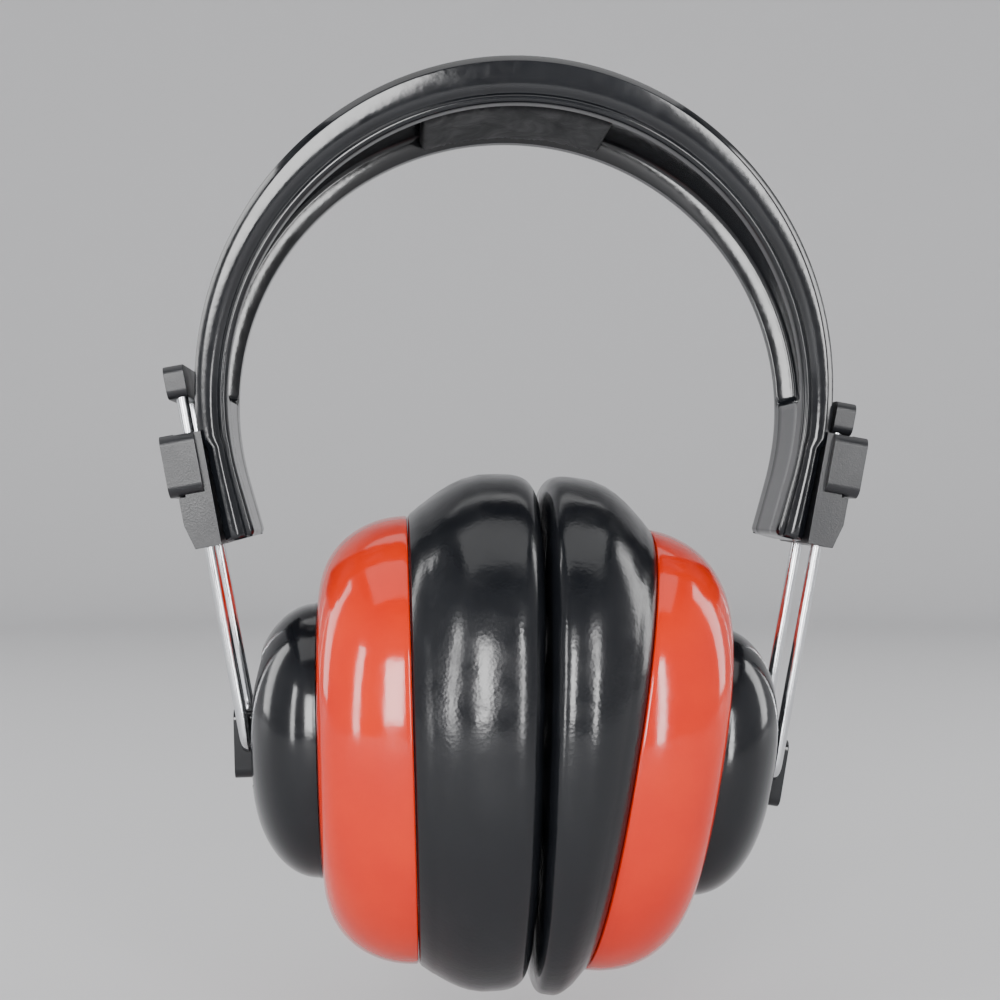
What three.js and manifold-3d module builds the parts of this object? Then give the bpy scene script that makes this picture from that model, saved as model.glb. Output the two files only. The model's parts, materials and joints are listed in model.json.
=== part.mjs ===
// Over-the-head hearing protection earmuffs, millimetres, +Z up as worn.
// The origin is the centre of the crown's underside, where the band rests on the head.
// X runs from cup to cup, and -Y is the front. Front and back are alike.
// Left and right share every function below: side is -1 on the left and +1 on the right.

import * as THREE from 'three';
import { mergeVertices } from 'three/addons/utils/BufferGeometryUtils.js';
import Module from 'manifold-3d';

const wasm = await Module();
wasm.setup();

// ---- driving dimensions ----
const GAP = 0.3; // clearance between pieces that touch
const BAND_INNER_R = 57.8; // inside of the arch at the crown
const BAND_CROWN_T = 10; // radial depth of the band at the crown
const BAND_END_T = 6.4; // radial depth of the band at its lower ends
const BAND_CROWN_W = 39; // front to back at the crown
const BAND_END_W = 24; // front to back at the lower ends
const BAND_CORNER = 2.2; // rounding of the band's outer edges
const BAND_END_Z = -85; // lowest point of each end
const END_LEAN = 16 * Math.PI / 180; // inward lean of the straight ends
const CHANNEL_DEPTH = 4.2; // hollow on the inside of the band
const CHANNEL_LIP = 3.4; // width of the lip on each side of the hollow
const CHANNEL_STOP = 30; // the hollow ends this far above the band's end
const SPLIT_ANGLES = [15, 44, 73].map((degrees) => degrees * Math.PI / 180); // crown, shoulder, side, arm
const SPLIT_GAP = 0.25; // half of the slit between two of them, at the inner face
const PAD_HALF_LENGTH = 19; // from the top of the band, along its curve

const WIRE_R = 1.2; // yoke wire
const WIRE_BEND = 2.6; // inside corner of the U
const LEG_Y = 8; // each leg's distance from the middle
const YOKE_LEAN = 10.5 * Math.PI / 180; // inward lean of the yoke
const PIVOT_X = 53; // crossbar axis, which the cup tilts about
const PIVOT_Z = -134.5;
const STOP_H = 6.6; // cross-piece on the tips of the legs
const STOP_X = [-1.5, 2.6];
const STOP_SOCKET = 5; // how far the tips go into it

const BLOCK_H = 23; // slider block height
const BLOCK_W = 24; // slider block front to back
const BLOCK_X = [-2.8, 3.8]; // block faces either side of the wire plane
const BLOCK_BELOW = 2.4; // how far the block reaches below the band's end
const FOOT_TAPER = [1.4, 5]; // slope at the block's outer lower edge, across and up
const COVER_SEAT = 2.4; // the block steps back to here under the cover
const COVER_PROUD = 1.6; // how far the cover stands outside the block
const COVER_CHEEK_X = -1.4; // the cover's two cheeks reach in to here
const COVER_CHEEK_T = 1.2;
const COVER_H = 12.4;
const TAB_DROP = 2.4; // rounded tab under the cover
const TAB_HALF_W = 7;

const RIM_PLANE = 33.2; // pivot to the cup's rim plane, along the cup's axis
const SHELL_SIZE = [91, 74]; // coloured shell at the rim: height, and front to back
const SHELL_FACE = [57, 50]; // the same at its outer face
const SHELL_WALL = 2.4;
const CAP_SIZE = [56, 49]; // black outer cap
const CAP_FLAT = [16, 14]; // the flatter middle of its dome
const CAP_WALL = 2.5;
const CAP_DEPTH = 14;
const CLIP_PEG_Z = 4.6; // the clip's two pegs, above and below the crossbar
const CLIP_PEG_R = 1.3;
const CLIP_PEG_LENGTH = 3.2;
const PLATE_T = 2.4; // cushion seat plate
const CUSHION_SIZE = [105, 86];
const CUSHION_HOLE = [57, 38];
const CUSHION_RISE = 1.2; // the cushion's fullest part sits this much higher than the cup's middle
const CUSHION_SKIN = 1.2;

// How the set is put away: the left yoke a little way in, and both cups tipped, bottom inward.
const LEFT_SLIDE = 7;
const LEFT_TILT = 1.5 * Math.PI / 180;
const RIGHT_TILT = 9.5 * Math.PI / 180;
const SEAM_X = 3.2; // where the two cushions meet, at SEAM_Z
const SEAM_Z = -127;
const SEAM_LEAN = 1.5 * Math.PI / 180; // the seam's lower end lies further to the right

const OVAL_POWER = 2.3; // 2 is an ellipse
const STEPS_AROUND = 36; // points round each oval

const COLOURS = {
  band: { color: 0x0c0d10, roughness: 0.22, metalness: 0 },
  slider: { color: 0x17181b, roughness: 0.35, metalness: 0 },
  steel: { color: 0xc9ccd0, roughness: 0.2, metalness: 1 },
  shell: { color: 0xff4b14, roughness: 0.2, metalness: 0 },
  cap: { color: 0x0e0f12, roughness: 0.25, metalness: 0 },
  vinyl: { color: 0x0b0c0f, roughness: 0.28, metalness: 0 },
  foam: { color: 0x2a2b2e, roughness: 0.95, metalness: 0 },
};

// ---- helpers ----

const material = (kind) => new THREE.MeshStandardMaterial(COLOURS[kind]);

function toSolid(geometry) {
  const bare = geometry.clone();
  for (const name of Object.keys(bare.attributes)) {
    if (name !== 'position') bare.deleteAttribute(name);
  }
  const merged = mergeVertices(bare, 1e-4);
  return new wasm.Manifold(new wasm.Mesh({
    numProp: 3,
    vertProperties: new Float32Array(merged.attributes.position.array),
    triVerts: new Uint32Array(merged.index.array),
  }));
}

function toGeometry(solid) {
  const mesh = solid.getMesh();
  const geometry = new THREE.BufferGeometry();
  geometry.setAttribute('position', new THREE.BufferAttribute(new Float32Array(mesh.vertProperties), 3));
  geometry.setIndex(new THREE.BufferAttribute(new Uint32Array(mesh.triVerts), 1));
  return geometry;
}

const cut = (body, ...tools) => toGeometry(tools.reduce((a, t) => a.subtract(toSolid(t)), toSolid(body)));
const join = (body, ...more) => toGeometry(more.reduce((a, t) => a.add(toSolid(t)), toSolid(body)));

// A closed solid through equal rings of points. With loop true the last ring joins the first one.
function loft(rings, loop = false) {
  const count = rings[0].length;
  const positions = rings.flat().flatMap((p) => [p.x, p.y, p.z]);
  const index = [];
  const bands = loop ? rings.length : rings.length - 1;
  for (let i = 0; i < bands; i += 1) {
    const next = (i + 1) % rings.length;
    for (let j = 0; j < count; j += 1) {
      const k = (j + 1) % count;
      const [a, b, c, d] = [i * count + j, i * count + k, next * count + k, next * count + j];
      index.push(a, b, c, a, c, d);
    }
  }
  if (!loop) {
    for (const [ring, flip] of [[0, true], [rings.length - 1, false]]) {
      const middle = new THREE.Vector3();
      rings[ring].forEach((p) => middle.add(p));
      middle.divideScalar(count);
      const centre = positions.length / 3;
      positions.push(middle.x, middle.y, middle.z);
      for (let j = 0; j < count; j += 1) {
        const [a, b] = [ring * count + j, ring * count + ((j + 1) % count)];
        index.push(...(flip ? [centre, b, a] : [centre, a, b]));
      }
    }
  }
  const geometry = new THREE.BufferGeometry();
  geometry.setAttribute('position', new THREE.Float32BufferAttribute(positions, 3));
  geometry.setIndex(index);
  return facingOut(geometry);
}

// Turns every face over when the solid is inside out.
function facingOut(geometry) {
  const p = geometry.attributes.position;
  const index = Array.from(geometry.index.array);
  const [a, b, c] = [new THREE.Vector3(), new THREE.Vector3(), new THREE.Vector3()];
  let volume = 0;
  for (let i = 0; i < index.length; i += 3) {
    a.fromBufferAttribute(p, index[i]);
    b.fromBufferAttribute(p, index[i + 1]);
    c.fromBufferAttribute(p, index[i + 2]);
    volume += a.dot(b.cross(c));
  }
  if (volume < 0) {
    for (let i = 0; i < index.length; i += 3) [index[i], index[i + 1]] = [index[i + 1], index[i]];
    geometry.setIndex(index);
  }
  return geometry;
}

function box(x0, x1, y0, y1, z0, z1) {
  const geometry = new THREE.BoxGeometry(x1 - x0, y1 - y0, z1 - z0);
  return geometry.translate((x0 + x1) / 2, (y0 + y1) / 2, (z0 + z1) / 2);
}

// An upright block with rounded vertical edges, along X: corners rounded in the YZ plane.
function roundedBlock(x0, x1, halfY, z0, z1, radius) {
  const shape = new THREE.Shape();
  const [lowZ, highZ] = [z0, z1];
  shape.moveTo(-halfY + radius, lowZ);
  shape.lineTo(halfY - radius, lowZ);
  shape.absarc(halfY - radius, lowZ + radius, radius, -Math.PI / 2, 0, false);
  shape.absarc(halfY - radius, highZ - radius, radius, 0, Math.PI / 2, false);
  shape.absarc(-halfY + radius, highZ - radius, radius, Math.PI / 2, Math.PI, false);
  shape.absarc(-halfY + radius, lowZ + radius, radius, Math.PI, 1.5 * Math.PI, false);
  const geometry = new THREE.ExtrudeGeometry(shape, { depth: x1 - x0, bevelEnabled: false, curveSegments: 5 });
  // shape x becomes Y, shape y becomes Z, and the depth runs along X
  const turn = new THREE.Matrix4().makeBasis(
    new THREE.Vector3(0, 1, 0), new THREE.Vector3(0, 0, 1), new THREE.Vector3(1, 0, 0));
  return geometry.applyMatrix4(turn).translate(x0, 0, 0);
}

// A round bar between two points.
function bar(from, to, radius, sides = 16) {
  const axis = to.clone().sub(from);
  const geometry = new THREE.CylinderGeometry(radius, radius, axis.length(), sides);
  geometry.applyQuaternion(new THREE.Quaternion().setFromUnitVectors(
    new THREE.Vector3(0, 1, 0), axis.clone().normalize()));
  const middle = from.clone().add(to).multiplyScalar(0.5);
  return geometry.translate(middle.x, middle.y, middle.z);
}

// Directions round an oval, a little squarer than an ellipse: y and z from -1 to 1.
const AROUND = Array.from({ length: STEPS_AROUND }, (_, i) => {
  const angle = (i / STEPS_AROUND) * 2 * Math.PI;
  return [Math.cos(angle), Math.sin(angle)].map((v) => Math.sign(v) * Math.abs(v) ** (2 / OVAL_POWER));
});

const oval = (x, [height, width]) => AROUND.map(([y, z]) => new THREE.Vector3(x, y * width / 2, z * height / 2));
const grown = (size, by) => size.map((length) => length + by);

// ---- headband ----

const ARC_CENTRE_Z = -BAND_INNER_R;
const ARC_END = Math.PI / 2 + END_LEAN; // angle from the top where the straight end starts
const ARC_END_INNER_Z = ARC_CENTRE_Z - BAND_INNER_R * Math.sin(END_LEAN);
const STRAIGHT = (ARC_END_INNER_Z - BAND_END_Z) / Math.cos(END_LEAN);
const ARC_LENGTH = ARC_END * BAND_INNER_R;
const BAND_LENGTH = ARC_LENGTH + STRAIGHT;

// The point and the outward direction on the band's inner surface, at a distance from the top.
function bandLine(distance) {
  const turn = Math.min(distance, ARC_LENGTH) / BAND_INNER_R;
  const outward = new THREE.Vector3(Math.sin(turn), 0, Math.cos(turn));
  const point = outward.clone().multiplyScalar(BAND_INNER_R);
  point.z += ARC_CENTRE_Z;
  const past = Math.max(0, distance - ARC_LENGTH);
  point.add(new THREE.Vector3(outward.z, 0, -outward.x).multiplyScalar(past));
  return { point, outward };
}

const mix = (a, b, t) => a + (b - a) * t;
const ease = (t) => t * t * (3 - 2 * t);

function bandSize(distance) {
  const t = ease(Math.min(1, distance / BAND_LENGTH));
  return { thick: mix(BAND_CROWN_T, BAND_END_T, t), half: mix(BAND_CROWN_W, BAND_END_W, t) / 2 };
}

// Puts a cross-section, as [y, out] pairs, at a distance from the top of the band.
function placeSection(outline, distance) {
  const { point, outward } = bandLine(distance);
  return outline.map(([y, out]) => point.clone().addScaledVector(outward, out).setY(y));
}

// One cross-section: flat inner face, rounded outer edges, crowned outer face.
function bandSection(distance) {
  const { thick, half } = bandSize(distance);
  const [bevel, crowning] = [0.8, 0.7];
  const corner = [0, 45, 90].map((degrees) => {
    const a = degrees * Math.PI / 180;
    return [half - BAND_CORNER * (1 - Math.cos(a)), thick - crowning - BAND_CORNER * (1 - Math.sin(a))];
  });
  const front = [[half - bevel, 0], [half, bevel], ...corner, [half * 0.45, thick - 0.15]];
  const back = front.map(([y, out]) => [-y, out]).reverse();
  return placeSection(front.concat(back), distance);
}

// The hollow on the inside of the band, from below the inner face up into it.
function channelSection(distance) {
  const half = bandSize(distance).half - CHANNEL_LIP;
  const draft = 0.8;
  const outline = [[-half, -2], [half, -2], [half - draft, CHANNEL_DEPTH], [draft - half, CHANNEL_DEPTH]];
  return placeSection(outline, distance);
}

const range = (from, to, steps) => Array.from({ length: steps + 1 }, (_, i) => mix(from, to, i / steps));
const sweep = (section, distances) => loft(distances.map(section));
const mirrorX = (geometry) => facingOut(geometry.clone().applyMatrix4(new THREE.Matrix4().makeScale(-1, 1, 1)));

// ---- places of the slider, in its own frame: origin at the pivot, +Z up the wires, +X outward ----

const BLOCK_BOTTOM = (BAND_END_Z - PIVOT_Z) / Math.cos(YOKE_LEAN) - BLOCK_BELOW;
const BLOCK_TOP = BLOCK_BOTTOM + BLOCK_H;
const COVER_TOP = BLOCK_TOP + 0.2;
const COVER_BOTTOM = COVER_TOP - COVER_H;
const STOP_BOTTOM = BLOCK_TOP + GAP;
const LEG_TIP = STOP_BOTTOM + STOP_SOCKET;

const toSlider = new THREE.Matrix4().makeRotationY(YOKE_LEAN).setPosition(PIVOT_X, 0, PIVOT_Z);

const SPLITS = SPLIT_ANGLES.map((angle) => angle * BAND_INNER_R);

// Sections left of the middle are the mirror of the ones right of it.
const signedSection = (section) => (distance) => {
  const ring = section(Math.abs(distance));
  return distance < 0 ? ring.map((p) => p.clone().setX(-p.x)) : ring;
};

function crownPiece() {
  const [end] = SPLITS;
  const body = sweep(signedSection(bandSection), range(-end + SPLIT_GAP, end - SPLIT_GAP, 8));
  const hollow = sweep(signedSection(channelSection), range(-end - 4, end + 4, 10));
  return cut(body, hollow);
}

// A piece of the band between two splits.
function bandPiece(from, to) {
  const body = sweep(bandSection, range(from + SPLIT_GAP, to - SPLIT_GAP, 8));
  const hollow = sweep(channelSection, range(from - 4, to + 4, 10));
  return cut(body, hollow);
}

function armPiece() {
  const from = SPLITS.at(-1);
  const body = sweep(bandSection, range(from + SPLIT_GAP, ARC_LENGTH, 8).concat(
    range(ARC_LENGTH, BAND_LENGTH, 2).slice(1)));
  const hollow = sweep(channelSection, range(from - 4, BAND_LENGTH - CHANNEL_STOP, 5));
  const seat = box(BLOCK_X[0] - GAP, 30, -30, 30, BLOCK_BOTTOM - 9, BLOCK_TOP + GAP);
  return cut(body, hollow, seat.applyMatrix4(toSlider));
}

// The pad under the crown: it fills the hollow and ends in a small flat that rests on the head.
function crownPad() {
  const [halfLength, halfWidth, flat] = [PAD_HALF_LENGTH, BAND_CROWN_W / 2 - CHANNEL_LIP - 2, 4];
  const sectionAt = (distance) => {
    const turn = distance / BAND_INNER_R;
    const under = Math.abs(distance) <= flat ? 0 : BAND_INNER_R * (Math.cos(turn) - 1);
    const level = (out) => BAND_INNER_R * (Math.cos(turn) - 1) + out * Math.cos(turn);
    const x = (out) => (BAND_INNER_R + out) * Math.sin(turn);
    const top = CHANNEL_DEPTH - GAP;
    return [
      new THREE.Vector3(x(0), -halfWidth, under), new THREE.Vector3(x(0), halfWidth, under),
      new THREE.Vector3(x(top), halfWidth, level(top)), new THREE.Vector3(x(top), -halfWidth, level(top)),
    ];
  };
  const steps = range(flat, halfLength, 4);
  return loft([...steps.map((d) => -d).reverse(), ...steps].map(sectionAt));
}

// ---- slider: block, cover and yoke ----

const legs = (make) => [-LEG_Y, LEG_Y].map(make);
const upright = (y, z0, z1, radius) => bar(new THREE.Vector3(0, y, z0), new THREE.Vector3(0, y, z1), radius);

// The guide block: tapered at its foot, and stepped back where the cover sits.
function sliderBlock() {
  const [inner, outer] = BLOCK_X;
  const [across, up] = FOOT_TAPER;
  const shape = new THREE.Shape([
    [inner, BLOCK_BOTTOM], [outer - across, BLOCK_BOTTOM], [outer, BLOCK_BOTTOM + up],
    [outer, COVER_BOTTOM - GAP], [COVER_SEAT, COVER_BOTTOM - GAP], [COVER_SEAT, BLOCK_TOP], [inner, BLOCK_TOP],
  ].map(([x, z]) => new THREE.Vector2(x, z)));
  const body = new THREE.ExtrudeGeometry(shape, { depth: BLOCK_W, bevelEnabled: false });
  body.rotateX(Math.PI / 2).translate(0, BLOCK_W / 2, 0);
  const notch = box(COVER_SEAT, 20, -TAB_HALF_W - GAP, TAB_HALF_W + GAP, COVER_BOTTOM - TAB_DROP - GAP, BLOCK_TOP);
  return cut(body, notch, ...legs((y) => upright(y, BLOCK_BOTTOM - 2, BLOCK_TOP + 2, WIRE_R + GAP)));
}

// The outer cover over the upper part of the block: a cheek at front and back, and a rounded tab below.
function sliderCover() {
  const outer = BLOCK_X[1] + COVER_PROUD;
  const halfSeat = BLOCK_W / 2 + GAP;
  const body = roundedBlock(COVER_CHEEK_X, outer, halfSeat + COVER_CHEEK_T, COVER_BOTTOM, COVER_TOP, 2.2);
  const tab = roundedBlock(COVER_SEAT + 2 * GAP, outer - 1.2, TAB_HALF_W, COVER_BOTTOM - TAB_DROP,
    BLOCK_TOP - 4, 2.3);
  const seat = box(-20, COVER_SEAT + GAP, -halfSeat, halfSeat, COVER_BOTTOM - 20, BLOCK_TOP + 20);
  return cut(join(body, tab), seat);
}

// A U of round wire: a crossbar along Y through the pivot, and two legs going up.
function yokeWire() {
  const corner = range(0, Math.PI / 2, 5).map((a) => [
    -LEG_Y + WIRE_BEND * (1 - Math.cos(a)), WIRE_BEND * (1 - Math.sin(a))]);
  const half = [[-LEG_Y, LEG_TIP], ...corner];
  const line = half.concat(half.map(([y, z]) => [-y, z]).reverse()).map(([y, z]) => new THREE.Vector3(0, y, z));
  const across = new THREE.Vector3(1, 0, 0);
  const rings = line.map((p, i) => {
    const ahead = line[Math.min(i + 1, line.length - 1)].clone().sub(p).normalize();
    const behind = p.clone().sub(line[Math.max(i - 1, 0)]).normalize();
    const up = across.clone().cross(ahead.add(behind)).normalize();
    return range(0, 2 * Math.PI, 12).slice(1).map((a) => p.clone()
      .addScaledVector(across, WIRE_R * Math.cos(a)).addScaledVector(up, WIRE_R * Math.sin(a)));
  });
  return loft(rings);
}

// The cross-piece that caps both leg tips and stops them at the top of the block.
function yokeStop() {
  const body = roundedBlock(...STOP_X, LEG_Y + 2.4, STOP_BOTTOM, STOP_BOTTOM + STOP_H, 1.8);
  return cut(body, ...legs((y) => upright(y, STOP_BOTTOM - 1, LEG_TIP + GAP, WIRE_R + 0.1)));
}

// ---- cup: modelled with the pivot at the origin, +X outward and its axis along X ----

const CAP_TOP_X = -0.6; // the cap's apex, beside the crossbar
const CAP_BASE_X = CAP_TOP_X - CAP_DEPTH;
const RIM_X = -RIM_PLANE;
const POCKET_X = CAP_TOP_X - 2.7; // floor of the pocket that the clip sits in
const POCKET_Z = [-8, 40];
const CUSHION_BASE_X = RIM_X - PLATE_T - 2 * GAP;

// Rings of a bowl whose outline shrinks from the rim to the outer face along a quarter-round curve.
function bowl(rimX, outerX, rim, face, steps, power = 1) {
  return range(0, Math.PI / 2, steps).map((a) => {
    const grow = Math.cos(a) ** power;
    return oval(mix(rimX, outerX, Math.sin(a)), rim.map((length, i) => mix(face[i], length, grow)));
  });
}

function cupShell() {
  const inner = grown(SHELL_SIZE, -2 * SHELL_WALL);
  const outside = bowl(RIM_X, CAP_BASE_X - GAP, SHELL_SIZE, SHELL_FACE, 5, 0.9);
  const inside = bowl(RIM_X, CAP_BASE_X - SHELL_WALL, inner, grown(SHELL_FACE, -2.6 * SHELL_WALL), 4, 0.9);
  return cut(loft(outside), loft([oval(RIM_X - 3, inner), ...inside]));
}

// The black outer cap: a domed cover with a pocket for the clip and the yoke's legs.
function outerCap() {
  const dome = loft(bowl(CAP_BASE_X, CAP_TOP_X, CAP_SIZE, CAP_FLAT, 5));
  const under = loft(bowl(CAP_BASE_X - 0.01, POCKET_X - CAP_WALL, grown(CAP_SIZE, -2 * CAP_WALL),
    grown(CAP_FLAT, -2), 3));
  const pocket = box(POCKET_X, 10, -LEG_Y - 3, LEG_Y + 3, ...POCKET_Z);
  const pegs = [-1, 1].map((end) => bar(
    new THREE.Vector3(-12, 0, end * CLIP_PEG_Z), new THREE.Vector3(5, 0, end * CLIP_PEG_Z), CLIP_PEG_R + GAP, 12));
  return cut(dome, under, pocket, ...pegs);
}

// The clip that holds the crossbar against the cap, snapped in by two pegs.
function yokeClip() {
  const body = roundedBlock(POCKET_X + GAP, WIRE_R + 1.8, LEG_Y - 3, -7, 7, 2);
  const pegs = [-1, 1].map((end) => bar(
    new THREE.Vector3(POCKET_X - CLIP_PEG_LENGTH, 0, end * CLIP_PEG_Z),
    new THREE.Vector3(0, 0, end * CLIP_PEG_Z), CLIP_PEG_R, 12));
  const groove = bar(new THREE.Vector3(0, -20, 0), new THREE.Vector3(0, 20, 0), WIRE_R + GAP, 20);
  const mouth = box(POCKET_X - 5, 0, -20, 20, -WIRE_R - GAP, WIRE_R + GAP);
  return cut(join(body, ...pegs), groove, mouth);
}

// The moulded seat plate on the rim, flush with the shell and drawn in a little towards the cushion.
function seatPlate() {
  const [outer, inner] = [RIM_X - GAP, RIM_X - GAP - PLATE_T];
  const hole = grown(CUSHION_HOLE, 4);
  return cut(loft([oval(inner, grown(SHELL_SIZE, -1)), oval(inner + 0.8, SHELL_SIZE), oval(outer, SHELL_SIZE)]),
    loft([oval(inner - 1, hole), oval(outer + 1, hole)]));
}

// The slab of acoustic foam that lines the cup.
function foamLiner() {
  const size = grown(SHELL_SIZE, -2 * SHELL_WALL - 3);
  return loft([oval(RIM_X + 0.6, size), oval(RIM_X + 6, grown(size, -0.4)), oval(RIM_X + 9, grown(size, -9))]);
}

// ---- cushions: rings between the tilted seat plate and the plane where the two cushions meet ----

// A cushion's section is in (across, along): across runs from the hole to the outer edge and along
// from the seat plate to the far face, each from 0 to 1. inset draws the section in by a distance.
const ROUND_FAR = 0.52; // how round the section is on its far side
const ROUND_NEAR = 0.34; // and beside the seat plate
const SWELL = 0.6; // the outside swells from the plate's outline to its full size in this share of the depth
const MOUTH = 0.42; // the skin is open towards the plate by this angle either side of the middle

function sectionPoint(angle) {
  const power = Math.sin(angle) < 0 ? ROUND_NEAR : ROUND_FAR;
  return [Math.cos(angle), Math.sin(angle)].map((v) => 0.5 + 0.5 * Math.sign(v) * Math.abs(v) ** power);
}

function cushionRing(faceAt, section) {
  return loft(AROUND.map(([sideways, up]) => section.map(({ at: [across, along], inset }) => {
    const swell = Math.sin(Math.PI / 2 * Math.min(1, along / SWELL));
    const [z, y] = [up, sideways].map((share, i) => share * mix(
      CUSHION_HOLE[i] / 2 + inset, mix(SHELL_SIZE[i], CUSHION_SIZE[i], swell) / 2 - inset, across));
    const x = mix(CUSHION_BASE_X - inset, faceAt(z) + inset, along);
    return new THREE.Vector3(x, y, z + CUSHION_RISE * across * swell);
  })), true);
}

const layer = (inset) => range(-Math.PI / 2 + MOUTH, 1.5 * Math.PI - MOUTH, 12).map((a) => (
  { at: sectionPoint(a), inset }));

// The vinyl skin is a thin ring, open along its seat-plate side, and the foam core fills it.
const cushionSkin = (faceAt) => cushionRing(faceAt, layer(0).concat(layer(CUSHION_SKIN).reverse()));
const cushionFoam = (faceAt) => cushionRing(faceAt, layer(CUSHION_SKIN + 3 * GAP));

// ---- assembly ----

const earmuffs = new THREE.Group();

function add(group, name, geometry, kind) {
  const mesh = new THREE.Mesh(geometry, material(kind));
  mesh.name = name;
  group.add(mesh);
}

add(earmuffs, 'headband_crown', crownPiece(), 'band');
add(earmuffs, 'crown_pad', crownPad(), 'foam');

function buildSide(side, label, slide, tilt) {
  const place = (geometry) => (side < 0 ? mirrorX(geometry) : geometry);
  add(earmuffs, `${label}_shoulder`, place(bandPiece(SPLITS[0], SPLITS[1])), 'band');
  add(earmuffs, `${label}_side`, place(bandPiece(SPLITS[1], SPLITS[2])), 'band');
  add(earmuffs, `${label}_arm`, place(armPiece()), 'band');

  const slider = new THREE.Group();
  slider.position.set(side * PIVOT_X, 0, PIVOT_Z);
  slider.rotation.y = side * YOKE_LEAN;
  add(slider, `${label}_slider_block`, place(sliderBlock()), 'slider');
  add(slider, `${label}_slider_cover`, place(sliderCover()), 'slider');
  earmuffs.add(slider);

  const yoke = new THREE.Group();
  yoke.position.set(0, 0, slide);
  add(yoke, `${label}_yoke`, place(yokeWire()), 'steel');
  add(yoke, `${label}_yoke_stop`, place(yokeStop()), 'slider');
  slider.add(yoke);

  const pivot = new THREE.Vector3(
    side * (PIVOT_X + slide * Math.sin(YOKE_LEAN)), 0, PIVOT_Z + slide * Math.cos(YOKE_LEAN));
  const cup = new THREE.Group();
  cup.position.copy(pivot);
  cup.rotation.y = side * tilt;
  // The seam plane in the cup's own frame, where outward is +X: its place at the pivot's height, and its lean.
  const lean = tilt - side * SEAM_LEAN;
  const seam = side * (SEAM_X + (SEAM_Z - pivot.z) * Math.tan(SEAM_LEAN)) + GAP / 2;
  const offset = (seam - side * pivot.x) * Math.cos(SEAM_LEAN) / Math.cos(lean);
  const faceAt = (z) => offset - z * Math.tan(lean);
  add(cup, `${label}_outer_cap`, place(outerCap()), 'cap');
  add(cup, `${label}_yoke_clip`, place(yokeClip()), 'cap');
  add(cup, `${label}_cup_shell`, place(cupShell()), 'shell');
  add(cup, `${label}_foam_liner`, place(foamLiner()), 'foam');
  add(cup, `${label}_seat_plate`, place(seatPlate()), 'cap');
  add(cup, `${label}_cushion_skin`, place(cushionSkin(faceAt)), 'vinyl');
  add(cup, `${label}_cushion_foam`, place(cushionFoam(faceAt)), 'foam');
  earmuffs.add(cup);
}

buildSide(-1, 'left', LEFT_SLIDE, LEFT_TILT);
buildSide(1, 'right', 0, RIGHT_TILT);

export default earmuffs;
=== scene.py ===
"""Hearing protection earmuffs: the looks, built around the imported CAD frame. Metres, +Z up as worn.

Each side's cup pieces are made in the cup's own frame (pivot at the origin, +X outward), and its yoke wire
in the slider's own frame (the same, with +Z up the wires), and then placed on the left or right. The small
moulded pieces are the CAD's own shapes with their edges rounded.
"""

import json
import math

import bmesh
import bpy
import numpy as np
from mathutils import Matrix, Vector, noise


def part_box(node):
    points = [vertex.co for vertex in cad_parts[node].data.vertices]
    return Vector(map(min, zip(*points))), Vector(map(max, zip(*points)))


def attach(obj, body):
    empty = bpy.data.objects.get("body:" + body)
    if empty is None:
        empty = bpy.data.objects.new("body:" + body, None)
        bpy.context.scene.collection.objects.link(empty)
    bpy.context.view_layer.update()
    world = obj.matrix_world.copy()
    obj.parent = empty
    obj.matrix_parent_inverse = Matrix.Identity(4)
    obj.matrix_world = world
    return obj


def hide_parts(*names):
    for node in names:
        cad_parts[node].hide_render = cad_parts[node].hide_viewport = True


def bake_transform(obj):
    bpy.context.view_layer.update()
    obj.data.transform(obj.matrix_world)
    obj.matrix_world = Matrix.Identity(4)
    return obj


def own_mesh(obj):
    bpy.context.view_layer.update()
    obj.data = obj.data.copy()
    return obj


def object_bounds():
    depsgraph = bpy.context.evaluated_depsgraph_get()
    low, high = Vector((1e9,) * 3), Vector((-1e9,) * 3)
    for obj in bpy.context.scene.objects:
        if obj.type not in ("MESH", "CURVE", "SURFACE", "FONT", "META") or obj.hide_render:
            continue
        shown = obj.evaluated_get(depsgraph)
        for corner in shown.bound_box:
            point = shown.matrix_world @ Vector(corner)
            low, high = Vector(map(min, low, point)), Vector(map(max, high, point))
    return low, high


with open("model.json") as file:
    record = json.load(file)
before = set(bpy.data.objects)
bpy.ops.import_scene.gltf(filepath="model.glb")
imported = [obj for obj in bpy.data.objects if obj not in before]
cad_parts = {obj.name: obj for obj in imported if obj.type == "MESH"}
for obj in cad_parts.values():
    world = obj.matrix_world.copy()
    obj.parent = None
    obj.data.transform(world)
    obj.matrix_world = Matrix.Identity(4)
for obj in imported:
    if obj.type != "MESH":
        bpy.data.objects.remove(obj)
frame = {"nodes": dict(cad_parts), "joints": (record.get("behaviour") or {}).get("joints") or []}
cad_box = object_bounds()

MM = 0.001
JOINTS = {j["name"]: j for j in frame["joints"]}
SIDES = {"left": -1, "right": 1}

# ---- driving dimensions, the same as the CAD's ----
BAND_INNER_R = 57.8 * MM
BAND_CROWN_T, BAND_END_T = 10 * MM, 6.4 * MM
BAND_CROWN_W, BAND_END_W = 39 * MM, 24 * MM
BAND_END_Z = -85 * MM
END_LEAN = math.radians(16)
CHANNEL_DEPTH, CHANNEL_LIP, CHANNEL_STOP = 4.2 * MM, 3.4 * MM, 30 * MM
PAD_HALF_LENGTH = 19 * MM
HINGE_ARC = math.radians(88 / 3)  # each band hinge bends this much of the arch, half on either side of it

WIRE_R, LEG_Y, WIRE_BEND = 1.2 * MM, 8 * MM, 2.6 * MM
BLOCK_INNER_X = -2.8 * MM

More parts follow.
